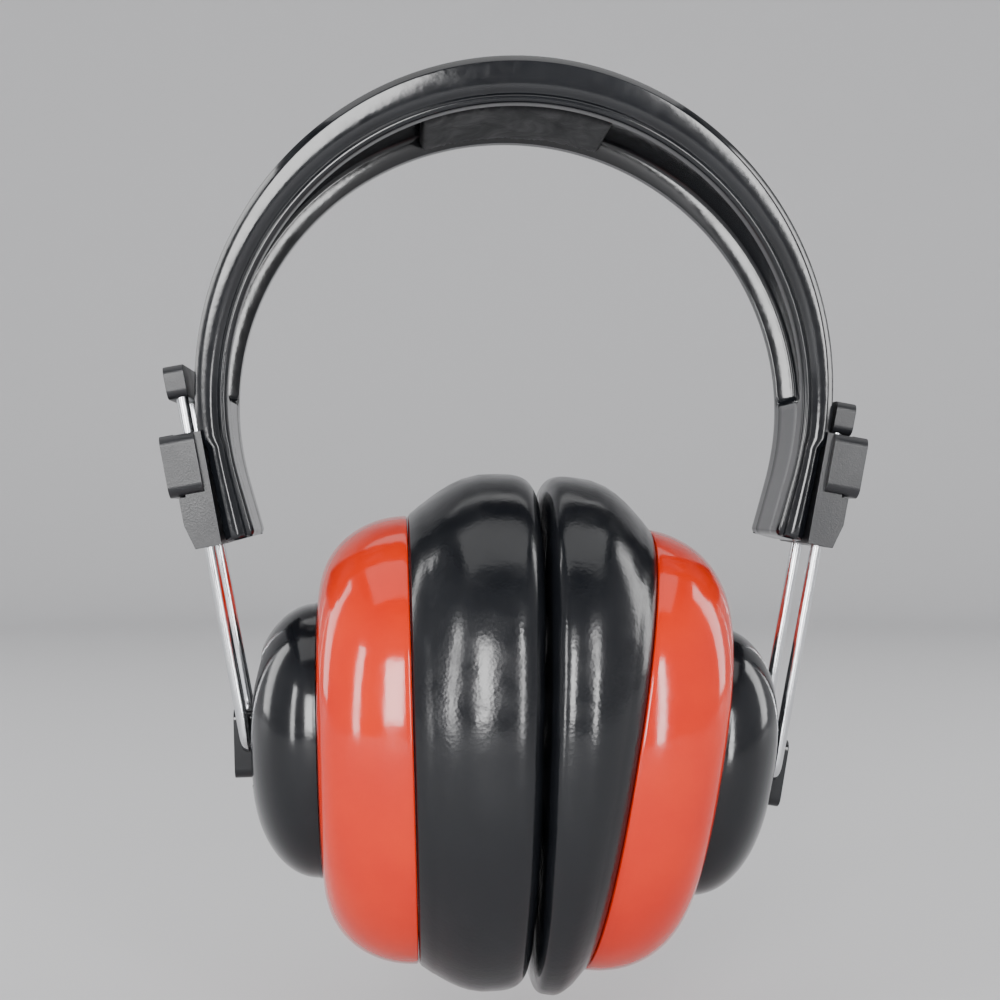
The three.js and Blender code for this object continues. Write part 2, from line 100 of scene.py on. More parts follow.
GAP = 0.3 * MM
RIM_X = -33.2 * MM
SHELL_SIZE, SHELL_FACE = (91 * MM, 74 * MM), (57 * MM, 50 * MM)
SHELL_WALL = 2.4 * MM
CAP_TOP_X, CAP_DEPTH = -0.6 * MM, 14 * MM
CAP_SIZE, CAP_FLAT = (56 * MM, 49 * MM), (16 * MM, 14 * MM)
POCKET_X, POCKET_LOW_Z, POCKET_SIDE = CAP_TOP_X - 2.7 * MM, -8 * MM, 3 * MM
POCKET_PAST_X, POCKET_PAST_Z = 10 * MM, 40 * MM  # clear of the cap, so that the cut runs out of it
PLATE_T = 2.4 * MM
CUSHION_SIZE, CUSHION_HOLE = (105 * MM, 86 * MM), (57 * MM, 38 * MM)
CUSHION_BASE_X = RIM_X - PLATE_T - 2 * GAP
CUSHION_RISE = 1.2 * MM  # the cushion's fullest part sits this much higher than the cup's middle
ROUND_FAR = 0.46  # how round a cushion's section is where the two cushions press together
SKIRT_DEPTH, SKIRT_T = PLATE_T + 1.5 * GAP, 0.7 * MM  # the vinyl wraps over the edge of the seat plate
SWELL = 0.6  # share of its depth over which a cushion swells to its full size
OVAL_POWER, OVAL_POINTS = 2.3, 128
LINER_INSET, LINER_START, LINER_DEPTH = 3 * MM, 0.6 * MM, 8 * MM
PAD_CRINKLE = 1.6 * MM

# ---- roundings of sharp edges ----
SLIDER_EDGE, STOP_EDGE, CLIP_EDGE, CAP_EDGE = 0.45 * MM, 0.5 * MM, 0.4 * MM, 0.35 * MM
BAND_EDGE, POCKET_EDGE = 1.2 * MM, 1.6 * MM

# ---- how the set sits in the photograph ----
TILT = {"left": math.radians(1.5), "right": math.radians(9.5)}
SEAM_X, SEAM_Z, SEAM_LEAN = 3.2 * MM, -127 * MM, math.radians(1.5)  # the plane where the cushions meet

FULLY_OUT = Vector(JOINTS["right_tilt"]["pos_m"])  # the pivot with the yoke fully extended, on the right
SLIDE_AXIS = JOINTS["right_height"]["axis"]
YOKE_LEAN = math.atan2(SLIDE_AXIS[0], SLIDE_AXIS[2])


# ---- mesh helpers ----


def link(name, mesh):
    obj = bpy.data.objects.new(name, mesh)
    bpy.context.scene.collection.objects.link(obj)
    return obj


def mix(a, b, t):
    return a + (b - a) * t


def ease(t):
    """A smooth step from 0 to 1."""
    t = np.clip(t, 0, 1)
    return t * t * (3 - 2 * t)


def grid(name, rings, loop=False, place=None):
    """A closed mesh through rings of points, an array (rings, points, 3).

    loop joins the last ring to the first; without it, the two end rings are filled. place moves the points.
    """
    rings = np.asarray(rings, float)
    count, around = rings.shape[:2]
    points = rings.reshape(-1, 3)
    if place is not None:
        points = place(points)
    mesh = bpy.data.meshes.new(name)
    bm = bmesh.new()
    verts = [bm.verts.new(p) for p in points]
    for i in range(count if loop else count - 1):
        for j in range(around):
            here, there = i * around, ((i + 1) % count) * around
            k = (j + 1) % around
            bm.faces.new([verts[here + j], verts[here + k], verts[there + k], verts[there + j]])
    if not loop:
        bm.faces.new(verts[:around][::-1])
        bm.faces.new(verts[-around:])
    bmesh.ops.recalc_face_normals(bm, faces=bm.faces)
    bm.to_mesh(mesh)
    bm.free()
    mesh.shade_smooth()
    mesh.set_sharp_from_angle(angle=math.radians(50))
    return link(name, mesh)


def rotate_y(points, angle):
    c, s = math.cos(angle), math.sin(angle)
    x, y, z = points.T
    return np.stack([x * c + z * s, y, -x * s + z * c], axis=1)


def placer(side, origin, turn):
    """From a side's own frame to the row frame: mirrored on the left, turned, and moved to its origin."""

    def place(points):
        flipped = np.asarray(points, float) * [side, 1, 1]
        return rotate_y(flipped, side * turn) + np.array(origin)

    return place


def cup_place(label):
    return placer(SIDES[label], JOINTS[f"{label}_tilt"]["pos_m"], TILT[label])


def slider_place(label):
    return placer(SIDES[label], (SIDES[label] * FULLY_OUT.x, 0, FULLY_OUT.z), YOKE_LEAN)


def apply_modifiers(obj):
    """Replaces the object's mesh by what its modifiers make of it."""
    graph = bpy.context.evaluated_depsgraph_get()
    mesh = bpy.data.meshes.new_from_object(obj.evaluated_get(graph), depsgraph=graph)
    obj.modifiers.clear()
    obj.data = mesh
    return obj


def bevelled(obj, width, segments=3, angle=30):
    """Rounds the sharp edges, then smooths the shading with each face's weight."""
    bevel = obj.modifiers.new("bevel", "BEVEL")
    bevel.width, bevel.segments, bevel.limit_method = width, segments, "ANGLE"
    bevel.angle_limit = math.radians(angle)
    bevel.miter_outer = "MITER_ARC"
    apply_modifiers(obj)
    obj.data.shade_smooth()
    weighted = obj.modifiers.new("weighted", "WEIGHTED_NORMAL")
    weighted.keep_sharp = True
    return apply_modifiers(obj)


def from_cad(node, width):
    """A moulded piece: the CAD node's own shape with its flat faces joined up and its edges rounded."""
    obj = link(node + "_look", frame["nodes"][node].data.copy())
    obj.data.materials.clear()
    bm = bmesh.new()
    bm.from_mesh(obj.data)
    bmesh.ops.remove_doubles(bm, verts=bm.verts, dist=1e-6)
    bmesh.ops.dissolve_limit(bm, angle_limit=math.radians(1), verts=bm.verts, edges=bm.edges)
    bm.to_mesh(obj.data)
    bm.free()
    if "custom_normal" in obj.data.attributes:
        obj.data.attributes.remove(obj.data.attributes["custom_normal"])
    return bevelled(obj, width)


def oval_point(size, c, s):
    """The (y, z) on an oval of size (height, width), in the direction whose cosine and sine are c and s."""
    half_z, half_y = size[0] / 2, size[1] / 2
    radius = (abs(c / half_y) ** OVAL_POWER + abs(s / half_z) ** OVAL_POWER) ** (-1 / OVAL_POWER)
    return radius * c, radius * s


def oval(x, size):
    """A ring of points on an oval, in a plane of constant x."""
    angle = np.arange(OVAL_POINTS) / OVAL_POINTS * 2 * math.pi
    y, z = oval_point(size, np.cos(angle), np.sin(angle))
    return np.stack([np.full(OVAL_POINTS, x), y, z], axis=1)


def bowl(base_x, top_x, base, top, steps, power=1.0):
    """Rings whose outline shrinks from base to top along a quarter-round curve."""
    rings = []
    for i in range(steps + 1):
        turn = i / steps * math.pi / 2
        grow = math.cos(turn) ** power
        size = tuple(mix(small, large, grow) for small, large in zip(top, base))
        rings.append(oval(mix(base_x, top_x, math.sin(turn)), size))
    return rings


def shrunk(size, by):
    return (size[0] - by, size[1] - by)


# ---- materials ----


def shader(name, base, roughness, metallic=0.0, **sockets):
    material = bpy.data.materials.new(name)
    material.use_nodes = True
    bsdf = material.node_tree.nodes["Principled BSDF"]
    bsdf.inputs["Base Color"].default_value = (*base, 1)
    bsdf.inputs["Roughness"].default_value = roughness
    bsdf.inputs["Metallic"].default_value = metallic
    for socket, value in sockets.items():
        bsdf.inputs[socket.replace("_", " ")].default_value = value
    return material, material.node_tree, bsdf


def texture(tree, kind, scale, stretch=(1, 1, 1), **values):
    """A procedural texture in the object's own space."""
    nodes, links = tree.nodes, tree.links
    coordinates = nodes.new("ShaderNodeTexCoord")
    mapping = nodes.new("ShaderNodeMapping")
    mapping.inputs["Scale"].default_value = stretch
    links.new(coordinates.outputs["Object"], mapping.inputs["Vector"])
    made = nodes.new("ShaderNodeTex" + kind)
    made.inputs["Scale"].default_value = scale
    for name, value in values.items():
        made.inputs[name].default_value = value
    links.new(mapping.outputs["Vector"], made.inputs["Vector"])
    return made


def remap(tree, value, low, high, start=0.0, end=1.0):
    """Stretches start..end of a value over low..high."""
    node = tree.nodes.new("ShaderNodeMapRange")
    node.inputs["From Min"].default_value, node.inputs["From Max"].default_value = start, end
    node.inputs["To Min"].default_value, node.inputs["To Max"].default_value = low, high
    tree.links.new(value, node.inputs["Value"])
    return node.outputs["Result"]


def colour_mix(tree, factor, a, b):
    node = tree.nodes.new("ShaderNodeMix")
    node.data_type = "RGBA"
    node.inputs["A"].default_value, node.inputs["B"].default_value = (*a, 1), (*b, 1)
    tree.links.new(factor, node.inputs["Factor"])
    return node.outputs["Result"]


def bump(tree, height, distance, strength=1.0, under=None):
    node = tree.nodes.new("ShaderNodeBump")
    node.inputs["Distance"].default_value = distance
    node.inputs["Strength"].default_value = strength
    tree.links.new(height, node.inputs["Height"])
    if under is not None:
        tree.links.new(under, node.inputs["Normal"])
    return node.outputs["Normal"]


def gloss_plastic(name, base, worn, roughness):
    """Moulded plastic: a faint orange peel, cloudy roughness, and slow changes of tone."""
    material, tree, bsdf = shader(name, base, roughness[0])
    cloud = texture(tree, "Noise", 60, Detail=3.0)
    haze = texture(tree, "Noise", 420, Detail=4.0)
    peel = texture(tree, "Noise", 900, Detail=1.0)
    tree.links.new(colour_mix(tree, remap(tree, cloud.outputs["Fac"], 0, 1, 0.35, 0.7), base, worn),
                   bsdf.inputs["Base Color"])
    tree.links.new(remap(tree, haze.outputs["Fac"], *roughness, 0.3, 0.75), bsdf.inputs["Roughness"])
    tree.links.new(bump(tree, peel.outputs["Fac"], 0.02 * MM, 0.5), bsdf.inputs["Normal"])
    return material


def satin_plastic():
    """Spark-eroded black plastic, with a cloudy change of tone and roughness."""
    material, tree, bsdf = shader("slider_plastic", (0.010, 0.0105, 0.012), 0.36)
    spark = texture(tree, "Noise", 2600, Detail=2.0)
    cloud = texture(tree, "Noise", 150, Detail=3.0)
    tree.links.new(colour_mix(tree, cloud.outputs["Fac"], (0.007, 0.0075, 0.009), (0.014, 0.0145, 0.017)),
                   bsdf.inputs["Base Color"])
    tree.links.new(remap(tree, cloud.outputs["Fac"], 0.28, 0.44), bsdf.inputs["Roughness"])
    tree.links.new(bump(tree, spark.outputs["Fac"], 0.05 * MM, 0.6), bsdf.inputs["Normal"])
    return material


def vinyl():
    """Shiny black vinyl with a fine pressed grain, and soft creases over the foam, painted a little darker
    in their hollows as shade.
    """
    material, tree, bsdf = shader("vinyl", (0.005, 0.0055, 0.007), 0.2)
    grain = texture(tree, "Voronoi", 1500)
    crease = texture(tree, "Noise", 70, Detail=3.0, Distortion=0.6)
    cloud = texture(tree, "Noise", 220, Detail=3.0)
    tree.links.new(remap(tree, cloud.outputs["Fac"], 0.13, 0.26, 0.3, 0.75), bsdf.inputs["Roughness"])
    # painted shade: the colour follows the crease bumps, darker in their hollows and lighter on their crests
    tree.links.new(colour_mix(tree, crease.outputs["Fac"], (0.004, 0.0045, 0.006), (0.008, 0.009, 0.011)),
                   bsdf.inputs["Base Color"])
    soft = bump(tree, crease.outputs["Fac"], 0.5 * MM, 0.35)
    tree.links.new(bump(tree, grain.outputs["Distance"], 0.05 * MM, 0.25, soft), bsdf.inputs["Normal"])
    return material


def steel():
    """Bright drawn wire, with fine lines along its length."""
    material, tree, bsdf = shader("steel_wire", (0.66, 0.67, 0.69), 0.16, 1.0)
    lines = texture(tree, "Noise", 900, stretch=(1, 1, 0.02), Detail=3.0)
    spots = texture(tree, "Noise", 300, Detail=4.0)
    tree.links.new(colour_mix(tree, spots.outputs["Fac"], (0.56, 0.57, 0.60), (0.74, 0.75, 0.76)),
                   bsdf.inputs["Base Color"])
    tree.links.new(remap(tree, lines.outputs["Fac"], 0.10, 0.30, 0.3, 0.7), bsdf.inputs["Roughness"])
    tree.links.new(bump(tree, lines.outputs["Fac"], 0.01 * MM, 0.5), bsdf.inputs["Normal"])
    return material


def foam():
    """Open-cell foam: a dark grey skin, with its sunken pores painted darker as shade."""
    material, tree, bsdf = shader("foam", (0.05, 0.051, 0.055), 0.95)
    pores = texture(tree, "Voronoi", 900)
    lumps = texture(tree, "Noise", 120, Detail=3.0)
    # painted shade: the colour follows the pore bumps, darkest at the bottom of each pit
    tree.links.new(colour_mix(tree, remap(tree, pores.outputs["Distance"], 0, 1, 0.1, 0.5),
                              (0.02, 0.021, 0.023), (0.10, 0.102, 0.108)), bsdf.inputs["Base Color"])
    tree.links.new(bump(tree, pores.outputs["Distance"], 0.5 * MM, 0.8,
                        bump(tree, lumps.outputs["Fac"], 1.0 * MM, 0.4)), bsdf.inputs["Normal"])
    return material


def soft_pad():
    """Thin black vinyl drawn over a strip of foam, crinkled along its length, with painted shade darkening
    the hollows of the crinkles.
    """
    material, tree, bsdf = shader("soft_pad", (0.006, 0.0065, 0.008), 0.5, Specular_IOR_Level=0.2)
    crinkle = texture(tree, "Noise", 160, stretch=(1, 0.5, 1), Detail=4.0, Distortion=0.8)
    grain = texture(tree, "Voronoi", 1300)
    tree.links.new(remap(tree, crinkle.outputs["Fac"], 0.45, 0.70, 0.3, 0.75), bsdf.inputs["Roughness"])
    # painted shade: the colour follows the crinkle bumps, darker in their hollows and lighter on their
    # crests
    tree.links.new(colour_mix(tree, crinkle.outputs["Fac"], (0.004, 0.0045, 0.006), (0.010, 0.011, 0.013)),
                   bsdf.inputs["Base Color"])
    soft = bump(tree, crinkle.outputs["Fac"], 0.8 * MM, 0.6)
    tree.links.new(bump(tree, grain.outputs["Distance"], 0.05 * MM, 0.3, soft), bsdf.inputs["Normal"])
    return material


BLACK, BLACK_WORN = (0.004, 0.0045, 0.006), (0.008, 0.009, 0.011)
MATERIALS = {
    "band": gloss_plastic("band_plastic", BLACK, BLACK_WORN, (0.09, 0.18)),
    "cap": gloss_plastic("cap_plastic", BLACK, BLACK_WORN, (0.10, 0.19)),
    "shell": gloss_plastic("shell_plastic", (0.57, 0.013, 0.0), (0.63, 0.020, 0.0), (0.08, 0.15)),
    "slider": satin_plastic(),
    "steel": steel(),
    "vinyl": vinyl(),
    "foam": foam(),
    "pad": soft_pad(),
}


def finish_piece(obj, body, slot, *nodes):
    """Gives a piece its material and its body, and hides the CAD nodes that it stands for."""
    obj.data.materials.clear()
    obj.data.materials.append(MATERIALS[slot])
    if body is not None:
        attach(obj, body)
    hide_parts(*nodes)


# ---- headband ----

ARC_LENGTH = (math.pi / 2 + END_LEAN) * BAND_INNER_R
STRAIGHT = (-BAND_END_Z - BAND_INNER_R * (1 + math.sin(END_LEAN))) / math.cos(END_LEAN)
BAND_LENGTH = ARC_LENGTH + STRAIGHT
CHANNEL_END = BAND_LENGTH - CHANNEL_STOP
CHANNEL_RUNOUT = 2.5 * MM  # over which the hollow in the inner face comes up level
BLOCK_TOP_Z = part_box("right_slider_block")[1].z


def band_line(distance):
    """The point and outward direction on the band's inner face, at a distance from the top."""
    turn = min(distance, ARC_LENGTH) / BAND_INNER_R
    outward = np.array([math.sin(turn), 0, math.cos(turn)])
    along = np.array([outward[2], 0, -outward[0]])
    past = max(0.0, distance - ARC_LENGTH)
    return outward * BAND_INNER_R + [0, 0, -BAND_INNER_R] + along * past, outward


def arc(centre_y, centre_out, radius, start, end, steps):
    """Points (y, out) on an arc between two angles in degrees."""
    angles = np.radians(np.linspace(start, end, steps))
    return [(centre_y + radius * math.cos(a), centre_out + radius * math.sin(a)) for a in angles]


def band_outline(thick, half, channel):
    """The front half of a cross-section: from the middle of the hollow, round the bead on the inner edge,
    up the front face and over the chamfer to the middle of the outer face. Pairs of (y, out)."""
    unit = MM * min(1, thick / BAND_END_T)  # the bead and chamfer shrink where the band is thin
    wall, bead, corner = half - CHANNEL_LIP, 0.9 * unit, min(1.0 * MM, channel * 0.9)
    points = [(0, channel), (wall * 0.5, channel)]
    points += arc(wall - 1.4 * MM, channel - corner, corner, 90, 0, 4)
    points += [(wall, min(0.6 * MM, channel * 0.1)), (wall + 0.3 * MM, 0), (half - 2.2 * bead, 0)]
    points += arc(half - bead, bead, bead, -90, 75, 10)
    points += [(half - y * unit, out * unit) for y, out in ((0.95, 2.05), (0.75, 2.6), (0.5, 3.0))]
    points += [(half - 0.35 * unit, mix(3.0 * unit, thick - 2.2 * unit, 0.5))]
    points += arc(half - 0.8 * unit, thick - 2.0 * unit, 0.5 * unit, 0, 45, 4)
    points += arc(half - 2.1 * unit, thick - 0.9 * unit, 0.6 * unit, 45, 85, 4)
    points += [(half * 0.6, thick - 0.1 * MM), (half * 0.3, thick), (0, thick)]
    return points


def seat_limit(point, outward):
    """How far out the band may reach where the slider block sits on it."""
    local = rotate_y(np.array([point - np.array([FULLY_OUT.x, 0, FULLY_OUT.z])]), -YOKE_LEAN)[0]
    slope = rotate_y(np.array([outward]), -YOKE_LEAN)[0][0]
    return (BLOCK_INNER_X - 0.35 * MM - local[0]) / slope


def band_ring(distance, inset=0.0):
    """The band's whole cross-section at a distance from the top, drawn in by inset at the rounded end."""
    point, outward = band_line(distance)
    t = float(ease(distance / BAND_LENGTH))
    thick, half = mix(BAND_CROWN_T, BAND_END_T, t), mix(BAND_CROWN_W, BAND_END_W, t) / 2
    if point[2] < BLOCK_TOP_Z - 1 * MM:
        thick = min(thick, seat_limit(point, outward))
    channel = CHANNEL_DEPTH * (1 - float(ease((distance - CHANNEL_END) / CHANNEL_RUNOUT)))
    outline = band_outline(thick - inset, half - inset, max(channel, 0.02 * MM))
    outline += [(-y, out) for y, out in outline[-2:0:-1]]
    ring = []
    for y, out in outline:
        lift = inset if out < 0.5 * MM else 0
        ring.append(point + outward * (out + lift) + np.array([0, y, 0]))
    return ring


def band_half(label):
    """One half of the band, as three pieces: each of them stands in for the two parts that meet at one of
    the half's three hinges.
    """
    side = SIDES[label]
    step = HINGE_ARC * BAND_INNER_R
    pieces = [[band_ring(d) for d in np.linspace(i * step, (i + 1) * step, 32)] for i in (0, 1)]
    stations = list(np.linspace(2 * step, CHANNEL_END, 26))
    stations += list(np.linspace(CHANNEL_END + 0.4 * MM, CHANNEL_END + CHANNEL_RUNOUT, 6))
    stations += list(np.linspace(CHANNEL_END + CHANNEL_RUNOUT + 1 * MM, BAND_LENGTH - BAND_EDGE, 14))
    pieces.append([band_ring(d) for d in stations])
    for a in np.radians([22.5, 45, 67.5, 90]):
        distance = BAND_LENGTH - BAND_EDGE + BAND_EDGE * math.sin(a)
        pieces[-1].append(band_ring(distance, BAND_EDGE * (1 - math.cos(a))))
    parts = [f"{label}_{part}" for part in ("shoulder", "side", "arm")]
    bodies, nodes = ["crown"] + parts, ["headband_crown"] + parts
    for i, rings in enumerate(pieces):
        obj = grid(f"{label}_band_{i + 1}", np.array(rings), place=lambda p: p * [side, 1, 1])
        finish_piece(obj, None, "band", *nodes[i:i + 2])
        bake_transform(obj)


def crown_pad():
    """A soft pad in the hollow under the crown, with room over it for the band to flex."""
    half_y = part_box("crown_pad")[1].y
    top = CHANNEL_DEPTH - 2.5 * GAP
    rings = []
    for u in np.linspace(-1, 1, 81):
        end = math.sqrt(max(0, 1 - max(0, (abs(u) - 0.95) / 0.05) ** 2))
        turn = u * PAD_HALF_LENGTH / BAND_INNER_R
        ring = []
        for a in np.arange(64) / 64 * 2 * math.pi:
            c, s = math.cos(a), math.sin(a)
            y = half_y * (0.96 + 0.04 * end) * math.copysign(abs(c) ** 0.3, c)
            out = top * (0.5 + (0.3 + 0.2 * end) * math.copysign(abs(s) ** 0.5, s))
            crinkle = noise.noise(Vector((turn * 22, y * 60, 4.2)))
            crinkle *= noise.noise(Vector((turn * 60, y * 25, 1.1)))
            out += PAD_CRINKLE * crinkle * (1 if s < 0 else 0)
            r = BAND_INNER_R + max(out, 0.15 * MM)
            ring.append([r * math.sin(turn), y, r * math.cos(turn) - BAND_INNER_R])
        rings.append(ring)
    finish_piece(grid("crown_pad_look", rings), "crown", "pad", "crown_pad")


# ---- slider and yoke ----


def slider(label):
    """The block at the end of the band, and the cover over it."""
    for part in ("slider_block", "slider_cover"):
        node = f"{label}_{part}"
        finish_piece(from_cad(node, SLIDER_EDGE), f"{label}_arm", "slider", node)


def yoke(label):
    """The U of wire, in the slider's frame, and the cross-piece on its tips."""
    up_wires = Vector(JOINTS[f"{label}_height"]["axis"])
    extended = Vector((SIDES[label] * FULLY_OUT.x, 0, FULLY_OUT.z))
    slide = (Vector(JOINTS[f"{label}_tilt"]["pos_m"]) - extended).dot(up_wires)
    stop_top = (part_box(f"{label}_yoke_stop")[1].z - FULLY_OUT.z) / math.cos(YOKE_LEAN)
    tip = stop_top - 2.5 * MM
    low = slide + WIRE_BEND
    line = [(-LEG_Y, z) for z in np.linspace(tip, low, 12)]
    line += [(-LEG_Y + WIRE_BEND * (1 - math.cos(a)), low - WIRE_BEND * math.sin(a))
             for a in np.linspace(0, math.pi / 2, 10)[1:]]
    line += [(y, slide) for y in np.linspace(-LEG_Y + WIRE_BEND, 0, 4)[1:]]
    line += [(-y, z) for y, z in line[-2::-1]]
    line = np.array(line)
    along = np.gradient(line, axis=0)
    along /= np.linalg.norm(along, axis=1)[:, None]
    rings = []
    turns = np.arange(24) / 24 * 2 * math.pi
    across, over = WIRE_R * np.cos(turns), WIRE_R * np.sin(turns)
    for (y, z), (along_y, along_z) in zip(line, along):
        rings.append(np.stack([across, y + along_z * over, z - along_y * over], axis=1))
    wire = grid(f"{label}_yoke_wire", rings, place=slider_place(label))
    finish_piece(wire, f"{label}_yoke", "steel", f"{label}_yoke")
    node = f"{label}_yoke_stop"
    finish_piece(from_cad(node, STOP_EDGE), f"{label}_yoke", "slider", node)


# ---- cup ----


def cup_shell(label):
    """The coloured shell: a hollow bowl with a rounded lip."""
    outer_x = CAP_TOP_X - CAP_DEPTH - GAP
    lip = 0.4 * MM
    outside = [oval(RIM_X, shrunk(SHELL_SIZE, 2 * lip))]
    outside += [oval(RIM_X + 0.12 * MM, shrunk(SHELL_SIZE, 0.6 * lip))]
    outside += bowl(RIM_X + lip, outer_x, SHELL_SIZE, SHELL_FACE, 32, 0.9)
    inside = bowl(RIM_X, outer_x - SHELL_WALL, shrunk(SHELL_SIZE, 2 * SHELL_WALL),
                  shrunk(SHELL_FACE, 2.6 * SHELL_WALL), 16, 0.9)
    rings = np.array(inside[::-1] + outside)
    obj = grid(f"{label}_shell_look", rings, place=cup_place(label))
    finish_piece(obj, f"{label}_cup", "shell", f"{label}_cup_shell")


def cutter(x0, x1, half_y, z0, z1):
    """A box with rounded edges, to cut with."""
    bpy.ops.mesh.primitive_cube_add(size=1)
    obj = bpy.context.active_object
    obj.data.transform(Matrix.Translation(((x0 + x1) / 2, 0, (z0 + z1) / 2))
                       @ Matrix.Diagonal((x1 - x0, 2 * half_y, z1 - z0, 1)))
    bevel = obj.modifiers.new("bevel", "BEVEL")
    bevel.width, bevel.segments = POCKET_EDGE, 4
    return apply_modifiers(obj)


def outer_cap(label):
    """The cap over the middle of the shell, with a pocket for the yoke, and the clip that holds the wire."""
    base_x = CAP_TOP_X - CAP_DEPTH
    lip = 0.6 * MM
    rings = [oval(base_x, shrunk(CAP_SIZE, 2 * lip)), oval(base_x, CAP_SIZE), oval(base_x + lip, CAP_SIZE)]
    rings += bowl(base_x + lip, CAP_TOP_X, shrunk(CAP_SIZE, 0.3 * MM), CAP_FLAT, 28)
    obj = grid(f"{label}_cap_look", rings)
    pocket = cutter(POCKET_X, POCKET_PAST_X, LEG_Y + POCKET_SIDE, POCKET_LOW_Z, POCKET_PAST_Z)
    cut = obj.modifiers.new("pocket", "BOOLEAN")
    cut.operation, cut.object, cut.solver = "DIFFERENCE", pocket, "EXACT"
    apply_modifiers(obj)
    bpy.data.objects.remove(pocket)
    points = np.array([v.co for v in obj.data.vertices])
    obj.data.vertices.foreach_set("co", cup_place(label)(points).ravel())
    if SIDES[label] < 0:
        obj.data.flip_normals()
    bevelled(obj, CAP_EDGE, segments=2, angle=35)
    finish_piece(obj, f"{label}_cup", "cap", f"{label}_outer_cap")
    node = f"{label}_yoke_clip"
    finish_piece(from_cad(node, CLIP_EDGE), f"{label}_cup", "cap", node)


def seat_plate(label):
    """The flat ring that the cushion sits on, with rounded edges."""
    near, far = RIM_X - GAP, RIM_X - GAP - PLATE_T
    outer = shrunk(SHELL_SIZE, 2 * SKIRT_T + 2 * GAP)
    hole = (CUSHION_HOLE[0] + 4 * MM, CUSHION_HOLE[1] + 4 * MM)
    middle, r = (near + far) / 2, PLATE_T / 2
    turns = np.radians(np.linspace(-90, 90, 9))
    section = [(middle - r * math.sin(a), shrunk(outer, 2 * r * (1 - math.cos(a)))) for a in turns]
    section += [(middle + r * math.sin(a), shrunk(hole, -2 * r * (1 - math.cos(a)))) for a in turns]
    rings = np.array([oval(x, size) for x, size in section])
    obj = grid(f"{label}_seat_plate_look", rings, loop=True, place=cup_place(label))
    finish_piece(obj, f"{label}_cup", "cap", f"{label}_seat_plate")


def foam_liner(label):
    """The block of foam inside the shell, with a slightly lumpy face."""
    inner = shrunk(SHELL_SIZE, 2 * SHELL_WALL + LINER_INSET)
    x0 = RIM_X + LINER_START
    rings = [oval(x0 + LINER_DEPTH, shrunk(inner, LINER_DEPTH))]
    rings += [oval(x0 + 2 * MM, inner), oval(x0 + 0.8 * MM, shrunk(inner, 1 * MM))]
    for share in np.linspace(0.96, 0.04, 22):
        rings.append(oval(x0 + 0.2 * MM, (inner[0] * share, inner[1] * share)))
    obj = grid(f"{label}_liner_look", rings, place=cup_place(label))
    for v in obj.data.vertices:
        v.co.x += SIDES[label] * 0.5 * MM * noise.noise(v.co * 90)
    finish_piece(obj, f"{label}_cup", "foam", f"{label}_foam_liner")


# ---- cushions ----

RING_POINTS = 220


def seam_face(label):
    """The cushion's far face in the cup's own frame: x at a height z."""
    side, tilt = SIDES[label], TILT[label]
    pivot = Vector(JOINTS[f"{label}_tilt"]["pos_m"])
    lean = tilt - side * SEAM_LEAN
    seam = side * (SEAM_X + (SEAM_Z - pivot.z) * math.tan(SEAM_LEAN)) + GAP / 2
    offset = (seam - side * pivot.x) * math.cos(SEAM_LEAN) / math.cos(lean)
    return lambda z: offset - z * math.tan(lean)


def cushion_section():
    """A closed line round the section.

    Each point is across (0 at the hole, 1 outside), along (0 at the plate, 1 at the far face), then an extra
    outward and an extra towards the cup, in metres.
    """
    points = [(1, along, 0, 0) for along in (0.36, 0.26, 0.17, 0.10, 0.05, 0.015)]
    points += [(1, 0, 0.1 * MM, 0.3 * MM), (1, 0, 0.1 * MM, SKIRT_DEPTH - 0.4 * MM)]
    points += [(1, 0, -0.3 * SKIRT_T, SKIRT_DEPTH), (1, 0, -0.8 * SKIRT_T, SKIRT_DEPTH), (1, 0, -SKIRT_T, 0)]
    points += [(across, 0, 0, 0) for across in (0.85, 0.7, 0.5, 0.3, 0.12)]
    points += [(0.03, 0.01, 0, 0), (0, 0.05, 0, 0)] + [(0, along, 0, 0) for along in (0.12, 0.22, 0.35)]
    for a in np.radians(np.linspace(180, 0, 45)):
        c, s = math.cos(a), math.sin(a)
        across = 0.5 + 0.5 * math.copysign(abs(c) ** ROUND_FAR, c)
        points.append((across, 0.5 + 0.5 * abs(s) ** ROUND_FAR, 0, 0))
    return points


def cushion(label):
    """A fat ring of vinyl over foam, swelling from its plate to where the two cushions press together."""
    face, place = seam_face(label), cup_place(label)
    seed = Vector((3.1, 7.7, 1.3)) * SIDES[label]
    section = cushion_section()
    sizes = (CUSHION_HOLE, SHELL_SIZE, CUSHION_SIZE)
    rings = []
    for angle in np.arange(RING_POINTS) / RING_POINTS * 2 * math.pi:
        c, s = math.cos(angle), math.sin(angle)
        hole, plate, full = (np.array(oval_point(size, c, s)) for size in sizes)
        ring = []
        depth = CUSHION_BASE_X - face(full[1])
        thin = min(1, depth / (20 * MM))
        for across, along, outward, back in section:
            reach = (along * depth + SKIRT_DEPTH - back) / (depth + SKIRT_DEPTH)
            swell = math.sin(math.pi / 2 * min(1, reach / SWELL)) if outward >= 0 else 0
            y, z = mix(hole, mix(plate, full, swell), across)
            z += CUSHION_RISE * across * swell
            # puckers run from the hole outwards, and fade on the outer side
            fold = noise.noise(Vector((c * 5.0, s * 5.0, 0.6 * across)) + seed)
            pucker = (0.15 + 0.5 * (1 - across)) * MM * fold * along * thin
            x = mix(CUSHION_BASE_X, face(z), along) + pucker + back
            out = pucker + outward
            ring.append([x, y + out * c, z + out * s])
        rings.append(ring)
    obj = grid(f"{label}_cushion_look", rings, loop=True, place=place)
    finish_piece(obj, f"{label}_cup", "vinyl", f"{label}_cushion_skin", f"{label}_cushion_foam")
    anchor, ahead = place([[CUSHION_BASE_X, 0, 0], [CUSHION_BASE_X + 1, 0, 0]])
    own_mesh(obj)


# ---- stage, lights and camera ----

